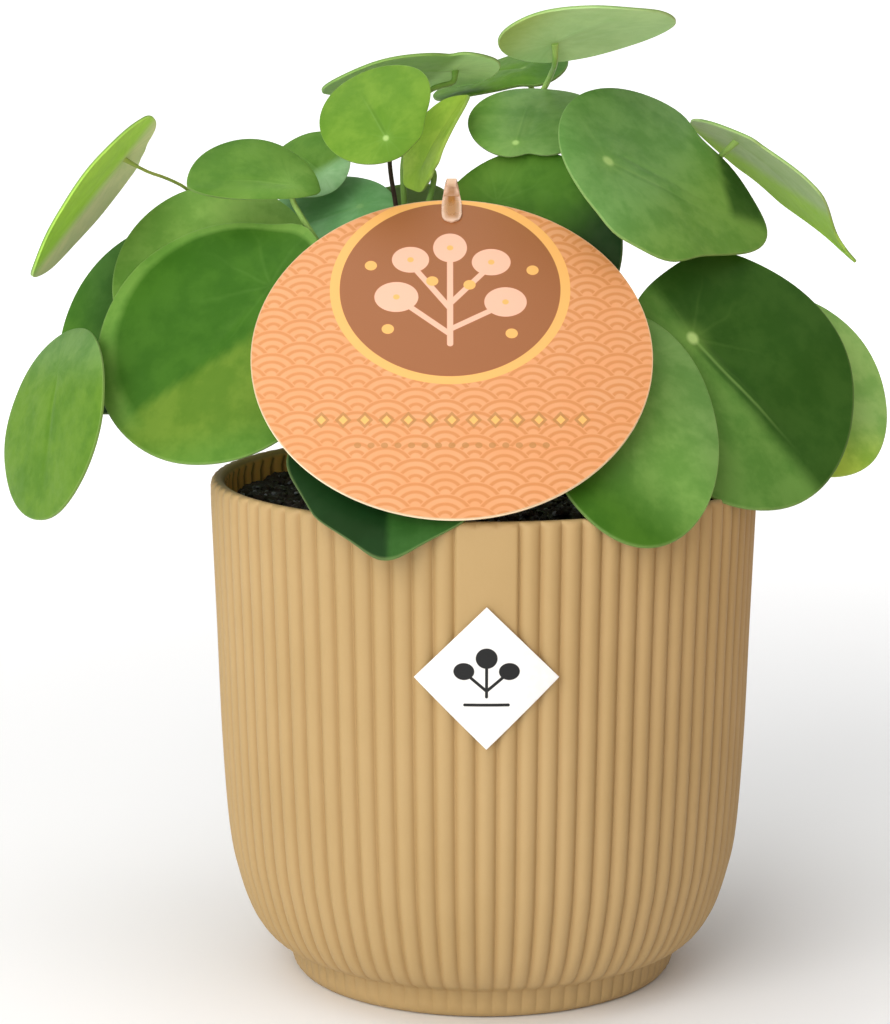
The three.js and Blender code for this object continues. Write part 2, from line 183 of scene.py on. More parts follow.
# The room is bright, but dim and warm on the right-hand side.
sky = bpy.data.worlds.new("room_light")
sky.use_nodes = True
sky_way = add_node("TexCoord", tree=sky.node_tree).outputs["Generated"]
sky_way = axes_of(sky_way)
to_right = plus(sky_way[0], times(sky_way[2], -0.9))
room = sky.node_tree.nodes["Background"]
room_tint = tinted(between(to_right, 0.0, 0.8), (1, 1, 1), (0.22, 0.10, 0.03))
behind_it_all = add_node("LightPath", tree=sky.node_tree).outputs["Is Camera Ray"]
feed(room, Color=tinted(behind_it_all, room_tint, (1.6, 1.6, 1.6)))
room.inputs["Strength"].default_value = 0.6
bpy.context.scene.world = sky

select_only(camera)
bpy.ops.mesh.primitive_circle_add(vertices=96, radius=24, fill_type="NGON", location=(0, 0, 0))
floor = bpy.context.object
floor.name = "floor"
floor_paint, tree, surface = finish_of("floor_paint", 0.8, Emission_Strength=1)
place = object_place(tree)
glow = tinted(between(length_of(place), 0.15, 1.3), (0, 0, 0), (0.7, 0.7, 0.7))
# What the floor throws back at the object's right side is warm.
thrown = add_node("LightPath", tree=tree).outputs["Is Diffuse Ray"]
thrown = times(between(axes_of(place)[0], 0.03, 0.5), thrown)
glow = tinted(thrown, glow, (0.7, 0.36, 0.13), "MULTIPLY")
feed(surface, Base_Color=tinted(thrown, (0.9, 0.9, 0.9), (0.62, 0.33, 0.12)), Emission_Color=glow)
floor.data.materials.append(floor_paint)

# The pot: injection-moulded plastic with a satin bloom, one shell with a plain foot, rounded upright
# ribs, a smooth rim, and a plain panel for a sticker at the front. One rib's sector is shaped from
# a grid, then spun round the pot's axis.
rib_count = 84
rib_depth = 0.00125
pot_radius = 0.0698
panel_low = 0.092
panel_half = 1.5 * tau / rib_count
panel_edge = panel_half * 0.985
across_rib = [-0.5, -0.45, -0.38, -0.29, -0.16, 0, 0.16, 0.29, 0.38, 0.45, 0.5]


def smooth_line(points, steps):
    """Points on a smooth curve through the given ones, a number of steps for each stretch."""
    points = np.array(points, float)
    padded = np.vstack([2 * points[0] - points[1], points, 2 * points[-1] - points[-2]])
    line = []
    for before, start, end, after in zip(padded, padded[1:], padded[2:], padded[3:]):
        for step in range(steps):
            t = step / steps
            squared = (2 * before - 5 * start + 4 * end - after) * t**2
            cubed = (3 * start - before - 3 * end + after) * t**3
            line.append(0.5 * (2 * start + (end - before) * t + squared + cubed))
    line.append(points[-1])
    return line


# Radius and height of the outer side, then of the inner wall down to the floor, in millimetres.
outer_foot = [(0, 0), (30, 0), (47.2, 0), (48.6, 0.5), (49.6, 1.7), (50.1, 3.4), (50.6, 7.2)]
ribbed_side = smooth_line(
    [(51.4, 7.9), (56.5, 10.8), (60.8, 17.2), (63.9, 26.5), (66.1, 38), (67.7, 62), (68.7, 92), (69.8, 122)], 5
)
outer_rim = [(69.85, 125), (69.85, 127.2), (69.75, 127.9), (69.45, 128.5), (68.95, 128.9), (68.3, 129)]
inner_rim = [(67.4, 129), (66.8, 128.75), (66.4, 128.2), (66.2, 127.3), (66, 125)]
inner_side = [(65.6, 115), (64.4, 88), (62.3, 38), (56, 17.2), (47.3, 7), (44.8, 4), (22, 4), (0, 4)]
pot_profile = [*outer_foot, *map(tuple, ribbed_side), *outer_rim, *inner_rim, *inner_side]
first_side_row = len(outer_foot)
last_side_row = first_side_row + len(ribbed_side)
first_inner_row = last_side_row + len(outer_rim) + len(inner_rim) - 1


def rib_share(row, height):
    """How deep the ribs are cut at a row of the profile, from 0 to 1."""
    if row < 4 or row >= len(pot_profile) - 4:
        return 0.0
    if row < first_side_row:
        return 0.2 + 0.25 * (row - 4) / 2
    if row < last_side_row:
        return min(1.0, 0.5 + 0.5 * (height - 7.9) / 10)
    if row < first_inner_row:
        return {0: 1.0, 1: 1.0, 2: 0.9, 3: 0.7, 4: 0.4, 5: 0.15, 9: 0.3, 10: 0.8}.get(row - last_side_row, 0.0)
    return 0.8


def groove_shape(across):
    """A rib's round back: 0 along its crest and 1 in the narrow groove at its edges."""
    return abs(2 * across) ** 2


def new_grid(name, columns, rows, size=1):
    """A flat grid to shape, which is then all that is selected."""
    select_only(camera)
    bpy.ops.mesh.primitive_grid_add(x_subdivisions=columns, y_subdivisions=rows, size=size)
    bpy.context.object.name = name
    return bpy.context.object


def open_mesh(action="SELECT"):
    """Edit mode for the mesh that is being made, with all of it selected, or nothing."""
    bpy.ops.object.mode_set(mode="EDIT")
    bpy.ops.mesh.select_all(action=action)


def merge_doubles(outwards=True):
    """Closes the seams and poles of the mesh that is being made, and turns its faces outwards."""
    open_mesh()
    bpy.ops.mesh.remove_doubles(threshold=2e-6)
    if outwards:
        bpy.ops.mesh.normals_make_consistent(inside=False)
    bpy.ops.object.mode_set(mode="OBJECT")


def mark_points(piece, name, values):
    """An attribute for the material, with a number or a colour for each point of a piece."""
    kind, key = ("FLOAT_COLOR", "color") if np.ndim(values) == 2 else ("FLOAT", "value")
    piece.data.attributes.new(name, kind, "POINT").data.foreach_set(key, np.ravel(values))


def marks_of(tree, name):
    return add_node("Attribute", tree=tree, attribute_name=name).outputs


pot = new_grid("ribbed_pot", len(across_rib) - 1, len(pot_profile) - 1)
columns = len(across_rib)
for number, vertex in enumerate(pot.data.vertices):
    row, column = divmod(number, columns)
    radius, height = pot_profile[row]
    cut = rib_share(row, height) * groove_shape(across_rib[column]) * rib_depth
    if row >= first_inner_row:
        cut = -cut
    turn = -pi / 2 + across_rib[column] * tau / rib_count
    reach = max(0.0, radius / 1000 - cut)
    vertex.co = (reach * cos(turn), reach * sin(turn), height / 1000)
open_mesh()
bpy.ops.mesh.spin(
    steps=rib_count - 1, dupli=True, angle=tau * (rib_count - 1) / rib_count, center=(0, 0, 0), axis=(0, 0, 1)
)
bpy.ops.object.mode_set(mode="OBJECT")
merge_doubles()

# The plain panel at the front takes the place of three ribs, from the label's upper half to the rim.
for vertex in pot.data.vertices:
    x, y, z = vertex.co
    turn = atan2(x, -y)
    reach = hypot(x, y)
    if panel_low < z < 0.1283 and abs(turn) < panel_edge and reach > pot_radius - 0.0026:
        share = min(1.0, (z * 1000 - 92) / (122 - 92))
        to_edge = (panel_half - abs(turn)) / tau * rib_count
        crest = (68.7 + 1.1 * share) / 1000 - 0.00012 - rib_depth * max(0.0, 1 - to_edge / 0.16) ** 2
        wanted = reach + (crest - reach) * min(1.0, (z - panel_low) / 0.004)
        vertex.co.x *= wanted / reach
        vertex.co.y *= wanted / reach
bpy.ops.object.shade_smooth()


def wall_line(z):
    """A radius that lies inside the wall at a height."""
    heights = [0.004, 0.0108, 0.0172, 0.0265, 0.038, 0.062, 0.092, 0.129]
    radii = [0.0470, 0.0525, 0.0580, 0.0612, 0.0633, 0.065, 0.0662, 0.0678]
    return float(np.interp(z, heights, radii))


# Marks for the pot's paint: how deep each point lies in a groove, for painted shade, and where the inner wall is, for
# painted bounce light.
grooves, inner = [], []
for vertex in pot.data.vertices:
    x, y, z = vertex.co
    around, reach = atan2(x, -y), hypot(x, y)
    ribs_round = around / tau * rib_count % 1
    on_inside = z > 0.0039 and reach < wall_line(z)
    on_panel = z > panel_low and abs(around) < panel_edge and not on_inside
    fade = min(1.0, max(0.0, (z - 0.003) / 0.008)) * min(1.0, max(0.0, (0.1287 - z) / 0.0012))
    depth = groove_shape(min(ribs_round, 1 - ribs_round)) * fade
    grooves.append(depth if reach > 0.045 and not on_panel else 0.0)
    inner.append(1.0 if on_inside and z < 0.1275 else 0.0)
mark_points(pot, "groove", grooves)
mark_points(pot, "inner", inner)

pot_plastic, tree, surface = finish_of("tan_plastic", 0.6, Specular_IOR_Level=0.35)
place = object_place(tree)
grain = clouds(place, 1400.0, 2.0, 0.5)
inner_wall = marks_of(tree, "inner")["Fac"]
tan = tinted(between(clouds(place, 24.0, 3.0, 0.55), 0.3, 0.7), (0.425, 0.284, 0.119), (0.452, 0.305, 0.134))
# The inner wall is painted a warmer, brighter brown: painted bounce light inside the pot, whose plastic is the same
# all through.
tan = tinted(inner_wall, tan, (0.95, 0.50, 0.15))
# The grooves are painted darker, more deeply on the inner wall: painted shade.
shade = times(between(marks_of(tree, "groove")["Fac"], 0.15, 0.9), plus(times(inner_wall, 0.52), 0.38))
tan = tinted(shade, tan, (0.30, 0.165, 0.05))
feed(surface, Base_Color=tan, Roughness=between(grain, 0.2, 0.8, 0.54, 0.66))
relief(surface, grain, 0.12, 0.0002)
pot.data.materials.append(pot_plastic)
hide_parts("pot")
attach(pot, "root")

# The soil: damp dark compost, crumbly on top with a few small grains painted pale blue-grey as painted
# glints, poured into the pot round the stem. A grid is drawn out to a round bed, roughened, and its edge
# is taken down to the pot's floor.
bed_radius = 0.06555
bed_level = 0.1225
bed_cells = 130


def bed_height(x, y):
    """The bed's height: slow waves, with clods and crumbs on them."""
    slow = sin(210 * x + 0.8) * cos(170 * y) + 0.6 * sin(370 * y - 110 * x)
    clods = noise.fractal(Vector((x, y, 0.3)) * 260, 0.8, 2.1, 4)
    crumbs = noise.noise(Vector((x, y, 0.9)) * 900)
    return bed_level + 0.0006 * slow + 0.0011 * clods + 0.0005 * crumbs


soil = new_grid("compost", bed_cells, bed_cells, size=2)
for vertex in soil.data.vertices:
    x, y, _ = vertex.co
    square = max(abs(x), abs(y))
    round_off = square / max(1e-9, hypot(x, y))
    x, y = x * round_off * bed_radius, y * round_off * bed_radius
    vertex.co = (x, y, bed_height(x, y))
open_mesh("DESELECT")
bpy.ops.mesh.select_mode(type="EDGE")
bpy.ops.mesh.select_non_manifold()
side_steps = [(0.0845, 0.945), (0.0195, 0.895), (0.0141, 0.801)]
for drop, shrink in side_steps:
    bpy.ops.mesh.extrude_edges_move(TRANSFORM_OT_translate={"value": (0, 0, -drop)})
    bpy.ops.transform.resize(value=(shrink, shrink, 1))
bpy.ops.mesh.edge_face_add()
bpy.ops.mesh.select_all(action="SELECT")
bpy.ops.mesh.normals_make_consistent(inside=False)
bpy.ops.mesh.select_mode(type="VERT")
bpy.ops.object.mode_set(mode="OBJECT")
bpy.ops.object.shade_smooth()

compost, tree, surface = finish_of("compost", 0.95, Specular_IOR_Level=0.5)
place = object_place(tree)
crumb_noise = clouds(place, 420.0, 5.0, 0.7)
brown = tinted(between(crumb_noise, 0.35, 0.72), (0.004, 0.003, 0.002), (0.048, 0.026, 0.018))
# The marked grains are painted pale blue-grey: painted glints.
brown = tinted(marks_of(tree, "glint_speck")["Fac"], brown, (0.34, 0.35, 0.42))
feed(surface, Base_Color=brown, Roughness=between(crumb_noise, 0.4, 0.6, 0.38, 0.9))
relief(surface, crumb_noise, 0.7, 0.0012)
soil.data.materials.append(compost)
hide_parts("soil")
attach(soil, "root")

# Crumbs of bark lie on the bed, with a few small grains painted pale blue-grey as painted glints.
luck = np.random.default_rng(41)
crumb_mesh = bmesh.new()
glint_layer = crumb_mesh.verts.layers.float.new("glint_speck")
for _ in range(2200):
    reach = (bed_radius - 0.002) * sqrt(luck.random())
    turn = luck.random() * tau
    x, y = reach * cos(turn), reach * sin(turn)
    size = 0.0005 + 0.0011 * luck.random() ** 2.2
    glint_grain = 1.0 if luck.random() < 0.3 else 0.0
    size = 0.0004 + 0.0004 * luck.random() if glint_grain else size
    crumb = bmesh.ops.create_icosphere(crumb_mesh, subdivisions=1, radius=size)["verts"]
    centre = Vector((x, y, bed_height(x, y) + size * 0.35))
    stretch = Vector((0.7 + 0.7 * luck.random(), 0.7 + 0.7 * luck.random(), 0.5 + 0.5 * luck.random()))
    for vertex in crumb:
        vertex.co = centre + vertex.co * stretch * (0.8 + 0.4 * luck.random())
        vertex[glint_layer] = glint_grain * (0.15 + 0.85 * luck.random())
crumbs_data = bpy.data.meshes.new("crumbs")
crumb_mesh.to_mesh(crumbs_data)
crumb_mesh.free()
crumbs = put_in("crumbs", crumbs_data)
crumbs.data.materials.append(compost)
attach(crumbs, "root")

# The leaves: fleshy round blades, each on a thin stalk that joins its underside inside the edge. Each
# blade is a grid wrapped round the joint through the CAD blade's own rings, then given its thickness.
spokes = 96
blade_rows = 16
blade_thickness = 0.0008
view_ahead = np.array([0, cos(camera_tilt), -sin(camera_tilt)])
view_axes = np.array([[1, 0, 0], [0, sin(camera_tilt), cos(camera_tilt)]])

black_green = (0.006, 0.032, 0.007)
deep = (0.034, 0.092, 0.013)
dark = (0.055, 0.15, 0.013)
mid = (0.10, 0.215, 0.028)
sage_green = (0.15, 0.27, 0.075)
soft = (0.155, 0.295, 0.055)
bright = (0.225, 0.385, 0.08)
moss = (0.125, 0.215, 0.024)
lime = (0.15, 0.275, 0.029)
yellow_green = (0.28, 0.42, 0.045)
fresh = (0.42, 0.60, 0.08)
pale = (0.36, 0.54, 0.15)
cool = (0.30, 0.50, 0.26)
plum = (0.06, 0.035, 0.03)
straw = (0.50, 0.55, 0.15)


def ring_round(start, seen):
    """The next ring of a CAD mesh, from the points of the last one, always in the mesh's own order."""
    ring = {edge.other_vert(vertex) for vertex in start for edge in vertex.link_edges} - seen
    seen.update(ring)
    return sorted(ring, key=lambda vertex: vertex.index)


def leaf_rings(node):
    """The joint, the tip's direction, the normal, the blade's rings and the stalk's middle line."""
    loose = bmesh.new()
    loose.from_mesh(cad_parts[node].data)
    bmesh.ops.remove_doubles(loose, verts=loose.verts, dist=1e-5)
    loose.verts.index_update()
    hub = max(loose.verts, key=lambda vertex: len(vertex.link_edges))
    normal = sum((face.normal for face in hub.link_faces), Vector()).normalized()
    rings, seen = [[hub]], {hub}
    for _ in range(3):
        rings.append(ring_round(rings[-1], seen))

    def off_hub(vertex):
        return (vertex.co - hub.co).length

    tip = max(rings[3], key=off_hub).co - hub.co
    tip = (tip - normal * tip.dot(normal)).normalized()
    side = normal.cross(tip)

    def turn_of(vertex):
        away = vertex.co - hub.co
        return atan2(away.dot(side), away.dot(tip)) % tau

    ordered = []
    for ring in rings[1:]:
        points = sorted(ring, key=turn_of)
        start = min(range(len(points)), key=lambda i: min(turn_of(points[i]), tau - turn_of(points[i])))
        ordered.append(np.array([points[(i + start) % len(points)].co for i in range(len(points))]))
    # The foot is the middle of the stalk's small five-sided end, and each ring up from it has five points.
    five = [vertex for vertex in loose.verts if len(vertex.link_edges) == 5]
    feet = [vertex for vertex in five if max(edge.calc_length() for edge in vertex.link_edges) < 0.0014]
    foot = max(feet, key=off_hub)
    stalk, ring, seen = [foot.co.copy()], [foot], {foot}
    while True:
        ring = ring_round(ring, seen)
        middle = sum((vertex.co for vertex in ring), Vector()) / max(1, len(ring))
        if len(ring) != 5 or (middle - hub.co).length < 0.0022:
            break
        stalk.append(middle)
    joint = hub.co.copy()
    loose.free()
    return joint, tip, side, normal, ordered, stalk


def through_ring(ring, count):
    """A smooth closed curve through the points of a ring, as more points."""
    spectrum = np.fft.fft(ring, axis=0)
    half = len(ring) // 2
    padded = np.zeros((count, 3), complex)
    padded[:half] = spectrum[:half]
    padded[-half + 1 :] = spectrum[-half + 1 :]
    padded[half] = padded[-half] = spectrum[half] / 2
    return np.fft.ifft(padded, axis=0).real * count / len(ring)


def between_rings(joint, rings, share):
    """A point of each spoke at a share of the way from the joint to the edge."""
    marks = [0, 0.36, 0.7, 1]
    lines = [np.array(joint)[None], *rings]
    total = 0
    for i, mark in enumerate(marks):
        weight = 1.0
        for j, other in enumerate(marks):
            if j != i:
                weight *= (share - other) / (mark - other)
        total = total + weight * lines[i]
    return total


def ease(low, high, value):
    share = np.clip((value - low) / (high - low), 0, 1)
    return share * share * (3 - 2 * share)


def in_view(points):
    """Where points lie in the front view, to the right and up."""
    away = points - np.array(camera.location)
    return away @ view_axes.T / (away @ view_ahead)[..., None]


def view_way(angle):
    return np.array([cos(radians(angle)), sin(radians(angle))])


def leaf_colour(points, reach, base, patches):
    """The colour over a blade: a base, then patches. A patch is a colour and its limits: a direction of
    the front view (or None for outward from the joint), and where along it the patch starts and is full."""
    colours = np.tile(np.array(base), (len(points), 1))
    middle = (points.max(0) + points.min(0)) / 2
    for colour, *limits in patches:
        share = np.ones(len(points))
        for angle, low, high in limits:
            along = reach
            if angle is not None:
                along = (in_view(points) - in_view(middle)) @ view_way(angle)
                along = along / np.abs(along).max()
            share = share * ease(low, high, along)
        colours = colours * (1 - share[:, None]) + np.array(colour) * share[:, None]
    return colours


def vector_calc(operation, *inputs):
    made = add_node("VectorMath", *inputs, operation=operation)
    return made.outputs["Value"] if operation == "DOT_PRODUCT" else made.outputs[0]


leaf_skin, tree, surface = finish_of("leaf_skin", 0.45, Specular_IOR_Level=0.13, Specular_Tint=(0.8, 1, 0.5, 1))
place = object_place(tree)
tint, part = marks_of(tree, "leaf_tint"), marks_of(tree, "leaf_part")
hub_strength, rib_strength = tint["Alpha"], part["Alpha"]
underside, edge_share, on_stalk = add_node("SeparateColor", part["Color"]).outputs
blade_map = add_node("UVMap", tree=tree, uv_map="blade").outputs[0]
centred = vector_calc("SUBTRACT", blade_map, (0.5, 0.5, 0))
across, along, _ = axes_of(centred)
reach = length_of(centred)
turn = calc("ARCTAN2", across, along)

# The midrib is a light line with a shaded side; fainter side veins fan out from the joint.
down_leaf = times(between(along, 0.0, 0.03), between(along, 0.2, 0.62, 1.0, 0.0), rib_strength)
midrib = times(between(calc("ABSOLUTE", across), 0.001, 0.011, 1.0, 0.0), down_leaf)
rib_shade = times(between(calc("ABSOLUTE", plus(across, 0.016)), 0.002, 0.018, 1.0, 0.0), down_leaf)
wander = times(minus(clouds(blade_map, 5.0, 2.0, 0.5), 0.5), 0.5)
fan = times(plus(turn, wander), 9.0 / tau)
fan = calc("ABSOLUTE", minus(calc("FRACT", plus(fan, 0.5)), 0.5))
side_veins = between(times(fan, reach), 0.0, 0.016, 1.0, 0.0)
side_veins = times(side_veins, between(reach, 0.02, 0.45, 0.8, 0.0), minus(1.0, on_stalk))

# Fine streaks run out from the joint, and soft blotches lie over them.
outward = vector_calc("ADD", vector_calc("NORMALIZE", centred), centred)
streaks = clouds(outward, 4.5, 4.0, 0.6)
mottle = clouds(place, 110.0, 4.0, 0.6)
flecks = clouds(place, 420.0, 3.0, 0.6)
hub_halo = times(between(reach, 0.0, 0.10, 0.35, 0.0), hub_strength)
hub_dot = times(between(reach, 0.012, 0.034, 1.0, 0.0), hub_strength)
green = tint["Color"]
for share, colour, way in (
    (times(between(mottle, 0.38, 0.64, 0.0, 0.6), minus(1.0, times(underside, 0.6))), (0.52, 0.70, 0.50), "MULTIPLY"),
    (between(streaks, 0.36, 0.66, 0.0, 0.2), (0.62, 0.78, 0.6), "MULTIPLY"),
    (between(flecks, 0.3, 0.75, 0.0, 0.1), (0.7, 0.8, 0.6), "MULTIPLY"),
    (times(rib_shade, 0.55), (0.35, 0.5, 0.35), "MULTIPLY"),
    (times(side_veins, 0.08), (0.20, 0.36, 0.08), "MIX"),
    (times(midrib, 0.4), (0.22, 0.38, 0.10), "MIX"),
    (hub_halo, (0.20, 0.36, 0.07), "MIX"),
    (times(hub_dot, 0.85), (0.42, 0.60, 0.20), "MIX"),
    (times(edge_share, 0.3), (0.30, 0.42, 0.15), "MIX"),
    (times(underside, 0.12), (0.55, 0.72, 0.30), "MIX"),
):
    green = tinted(share, green, colour, way)
gloss = plus(between(flecks, 0.3, 0.7, 0.38, 0.5), times(underside, 0.2))
feed(surface, Base_Color=green, Roughness=gloss)
height = plus(times(flecks, 0.25), times(streaks, 0.5))
relief(surface, minus(height, times(midrib, 0.5)), 0.22, 0.0005)


def lay_map(piece, name, places):
    """The only UV map of a piece, with a place for each of its points."""
    piece.data.uv_layers.new(name=name)
    for layer in [layer for layer in piece.data.uv_layers if layer.name != name]:
        piece.data.uv_layers.remove(layer)
    spots = piece.data.uv_layers[name].data
    for loop in piece.data.loops:
        spots[loop.index].uv = places[loop.vertex_index]


def thicken(piece, thickness, even=False):
    """Gives a sheet its thickness, behind its faces."""
    body = piece.modifiers.new("thickness", "SOLIDIFY")
    body.thickness, body.offset, body.use_even_offset = thickness, -1, even
    bpy.ops.object.modifier_apply(modifier=body.name)


def round_edges(piece, width):
    rounding = piece.modifiers.new("rounding", "BEVEL")
    rounding.width, rounding.segments = width, 2
    rounding.limit_method, rounding.angle_limit = "ANGLE", radians(50)
    bpy.ops.object.modifier_apply(modifier=rounding.name)


def wrap_blade(
    name, joint, tip, side, normal, rings, base, patches, marks=(0.8, 0.4), dot=(0, 0), taper=None, back=0,
    squat=(0, 0), pulls=(), top=None,
):
    """The blade as a closed sheet, with its colours, and its place in a map named blade. marks: how strong
    the joint's dot and the midrib show. dot: how far that dot is moved in the view. taper: where the tip
    starts to narrow, by what share, and how far it is drawn out. back: how much it narrows behind the
    joint. squat: a direction from which it is pushed in, by a share. top: the upper side's own colour."""
    joint, tip, side, normal = (np.array(value) for value in (joint, tip, side, normal))
    curves = [through_ring(ring, spokes) for ring in rings]
    blade = new_grid(name, spokes, blade_rows)
    shares = [0.985 * (row / (blade_rows - 1)) ** 0.9 for row in range(blade_rows)] + [1.0]
    rows = []
    length = np.linalg.norm(curves[2][0] - joint) / 0.77
    to_view = view_axes @ np.array([side, tip]).T
    dot = np.linalg.solve(to_view, np.array(dot) / 1000)
    squat_way = view_way(squat[0])
    squat_in_blade = np.linalg.solve(to_view, squat_way) @ np.array([side, tip])
    farthest = (curves[2] - joint) @ tip
    seed = Vector((joint[0], joint[2], joint[1])) * 30
    for share in shares:
        line = between_rings(joint, curves, share)
        away = line - joint
        s, t = away @ tip, away @ side
        # Slow swells of the blade, a shallow channel along the midrib, and an edge that curls down.
        swell = np.array([noise.noise(Vector(point) * 55 + seed) for point in line])
        channel = np.exp(-((t / 0.0011) ** 2)) * ease(0, 0.1, s / length) * (1 - ease(0.3, 0.7, s / length))
        lift = 0.0007 * swell * ease(0, 0.4, share) - 0.00022 * channel - 0.00012 * ease(0.93, 1.0, share)
        line = line + lift[:, None] * normal
        if taper:
            start, narrower, drip = taper
            ahead = s / farthest.max()
            line = line - (t * narrower * ease(start, 1.0, ahead))[:, None] * side
            line = line + (drip * np.clip(ahead, 0, 1) ** 16)[:, None] * tip
        line = line - (t * back * ease(0.2, 1.0, s / farthest.min()))[:, None] * side
        pushed = np.maximum(0, away @ view_axes.T @ squat_way) * squat[1]
        line = line - pushed[:, None] * squat_in_blade
        to_right, upwards = (in_view(joint + away) - in_view(joint)).T
        outward = away / np.maximum(1e-9, np.linalg.norm(away, axis=1))[:, None]
        for angle, width, amount in pulls:
            gap = (np.arctan2(upwards, to_right) - radians(angle) + pi) % tau - pi
            pull = amount * np.exp(-((gap / width) ** 2)) * share ** (2 if amount < 0 else 5)
            line = line + outward * pull[:, None]
        rows.append(np.vstack([line, line[:1]]))
    points = np.vstack(rows)
    blade.data.vertices.foreach_set("co", points.ravel())
    away = points - joint
    lay_map(blade, "blade", (np.stack([away @ side, away @ tip], axis=1) - dot) / length + 0.5)
    hub_mark, rib_mark = marks
    colours = leaf_colour(points, np.repeat(shares, spokes + 1), base, patches)
    mark_points(blade, "leaf_tint", np.hstack([colours, np.full((len(points), 1), hub_mark)]))
    edge = np.repeat([1.0 if share > 0.99 else 0.0 for share in shares], spokes + 1)
    mark_points(blade, "leaf_part", np.stack([edge * 0, edge, edge * 0, edge * 0 + rib_mark], axis=1))
    merge_doubles(outwards=False)
    facing = sum((face.normal * face.area for face in blade.data.polygons), Vector())
    normal = Vector(normal)
    if facing.dot(normal) < 0:
        blade.data.flip_normals()
    thicken(blade, blade_thickness, even=True)
    round_edges(blade, 0.00022)
    bpy.ops.object.shade_smooth()
    tints, parts = (blade.data.attributes[layer].data for layer in ("leaf_tint", "leaf_part"))
    for vertex in blade.data.vertices:
        if vertex.normal.dot(normal) < -0.2:
            parts[vertex.index].color[0] = 1.0
        elif top:
            tints[vertex.index].color = (*top, hub_mark)
    return blade


def grow_stalk(name, route, joint, normal, foot_colour, end_colour, thin=1.0):
    """The stalk: a thin round tube, a little wider at its foot and where it meets the blade."""
    start = route[0] + (route[0] - route[1]).normalized() * 0.0012
    line = smooth_line([start, *route[1:], joint - normal * 0.0005], 3)
    radii = []
    for i in range(len(line)):
        share = i / (len(line) - 1)
        flare = 0.0006 * max(0, 1 - share * 9) + 0.0003 * max(0, (share - 0.95) / 0.05)
        radii.append((0.00088 - 0.00015 * share) * thin + flare)
    curve = bpy.data.curves.new(name, "CURVE")
    curve.dimensions = "3D"
    curve.bevel_depth = 1
    curve.bevel_resolution = 3
    curve.use_fill_caps = True
    spline = curve.splines.new("POLY")
    spline.points.add(len(line) - 1)
    for point, co, radius in zip(spline.points, line, radii):
        point.co = (*co, 1)
        point.radius = radius
    select_only(put_in(name, curve))
    bpy.ops.object.convert(target="MESH")
    stalk = bpy.context.object
    bpy.ops.object.shade_smooth()
    stalk.data.uv_layers.new(name="blade")
    spots = np.array([vertex.co for vertex in stalk.data.vertices])
    share = np.linalg.norm(spots - np.array(line[0]), axis=1)
    share = (share / share.max())[:, None]
    colours = np.array(foot_colour) * (1 - share) + np.array(end_colour) * share
    mark_points(stalk, "leaf_tint", np.hstack([colours, np.zeros((len(spots), 1))]))
    mark_points(stalk, "leaf_part", np.tile([0.0, 0.0, 1.0, 0.0], (len(spots), 1)))
    return stalk


def grow_leaf(node, base, *patches, slot="leaf", stalk=(soft, pale), **shape):
    """A blade and its stalk as one piece, in the place of its CAD leaf."""
    joint, tip, side, normal, rings, route = leaf_rings(node)
    name = node.replace("leaf_", "grown_leaf_")
    blade = wrap_blade(name, joint, tip, side, normal, rings, base, patches, **shape)
    stem = grow_stalk(name + "_stalk", route, joint, normal, *stalk)
    select_only(blade)
    stem.select_set(True)
    bpy.ops.object.join()
    blade.data.materials.clear()
    blade.data.materials.append(leaf_skin)
    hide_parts(node)
    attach(blade, "root")


# Each leaf's greens and outline; some patches and raised underside greens are painted light and shade, as
# noted at each leaf. Directions are those of the front view, 0 to the right and 90 up; a limit runs from -1
# to 1 across the blade, and a pull moves the edge by so many metres in a direction.
# Painted light: the underside's greens are raised far above a leaf's own, for light shining through it and up onto it;
# the upper side keeps its own green.
grow_leaf(
    "leaf_far_left_upper", (0.56, 1.0, 0.09), ((0.95, 1.0, 0.60), (-38, -0.25, 0.15)), stalk=(straw, straw, 0.6),
    back=0.2, pulls=((35, 0.35, -0.003), (0, 0.45, -0.0025), (54, 0.15, 0.002)), top=mid, marks=(0.2, 0.3),
)
# Painted highlight: a lighter green over its upper part.
grow_leaf("leaf_far_left_lower", (0.118, 0.233, 0.022), (sage_green, (90, 0.3, 0.9)), marks=(0, 0.2))
# Painted light and a painted highlight: lighter green beyond the crease towards its lower right, and a pale band along
# the rolled upper-left edge.
grow_leaf(
    "leaf_front_left", (0.046, 0.135, 0.012), (moss, (-57, 0.06, 0.14)), (mid, (-75, 0.6, 0.95)),
    (soft, (None, 0.86, 0.92), (135, -0.1, 0.25)), (soft, (None, 0.86, 0.92), (90, 0.5, 0.75)), marks=(0, 0),
    pulls=((62, 0.35, 0.003),),
)
grow_leaf("leaf_left_second", bright, (soft, (150, 0.5, 1.0)))
# Painted shade: near black towards its right side, where it lies behind the leaves in front.
grow_leaf("leaf_left_dark", (0.044, 0.12, 0.018), (black_green, (-30, -0.1, 0.35)), (dark, (180, 0.4, 0.9)))
grow_leaf("leaf_left_round", mid, (soft, (-60, 0.0, 0.7)), (dark, (110, 0.4, 1.0)), squat=(-90, 0.66), marks=(0, 0.3))
grow_leaf("leaf_left_small", mid, (cool, (-60, 0.15, 0.5)), marks=(0, 0.2))
grow_leaf("leaf_beside_card", (0.20, 0.42, 0.18), marks=(0.2, 0.3))
grow_leaf(
    "leaf_lime", lime, slot="young_leaf", stalk=(plum, plum, 0.75), dot=(-0.5, -1.5),
    pulls=((25, 0.4, -0.002), (-25, 0.4, -0.0006), (56, 0.3, 0.001)),
)
